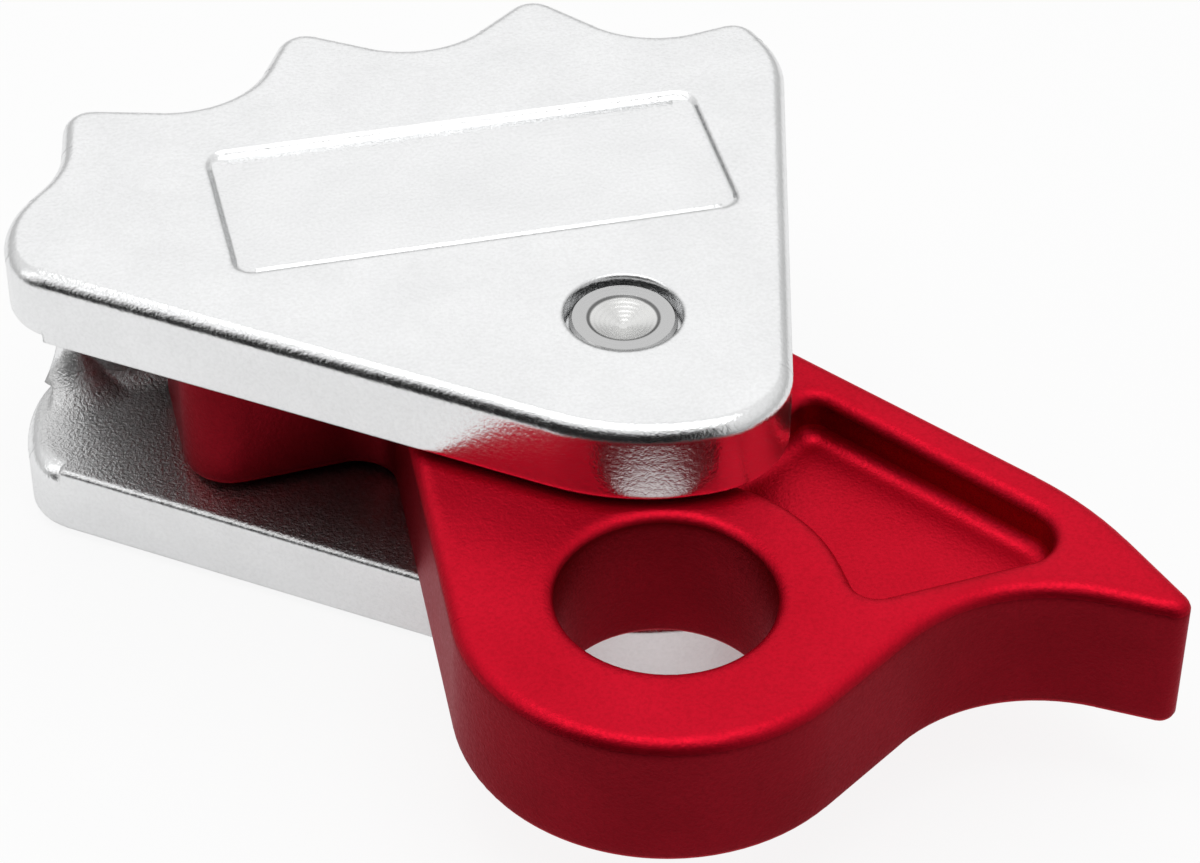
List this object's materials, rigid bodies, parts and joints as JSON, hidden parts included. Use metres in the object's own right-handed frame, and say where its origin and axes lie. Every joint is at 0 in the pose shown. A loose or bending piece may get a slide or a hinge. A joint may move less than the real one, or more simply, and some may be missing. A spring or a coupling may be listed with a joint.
{
  "type": "rope clutch",
  "caption": "Hand-held rope clutch: U-shaped aluminium housing with finger scallops, and a red pivoting cam lever with a round connector eye and a thumb recess.",
  "frame": {"origin": "centre of the overall box, on the lower cheek's outer face", "axes": "+X along the rope, towards the lever's tail; +Y towards the finger scallops; +Z along the pivot pin, towards the cheek with the recessed panel"},
  "size_m": [0.0824, 0.086, 0.0275],
  "materials": {
    "housing_aluminium": "tumbled and polished",
    "red_anodised": "satin anodised",
    "stainless": "turned",
    "bronze": "plain",
    "spring_steel": "drawn wire"
  },
  "bodies": {
    "frame_body": {"housing": "housing_aluminium", "pivot_pin": "stainless", "upper_thrust_washer": "stainless", "spring_cover_washer": "stainless", "return_spring": "spring_steel"},
    "lever_body": {"cam_lever": "red_anodised", "cam_bush": "bronze"}
  },
  "joints": [
    {"name": "cam_pivot", "type": "hinge", "parent": "frame_body", "child": "lever_body", "pos_m": [0.0054, -0.0024, 0.01375], "axis": [0, 0, 1], "range_deg": [-1, 30], "stiffness_Nm_per_rad": 0.12, "springref_deg": -40.11, "deforming": ["return_spring"]}
  ]
}
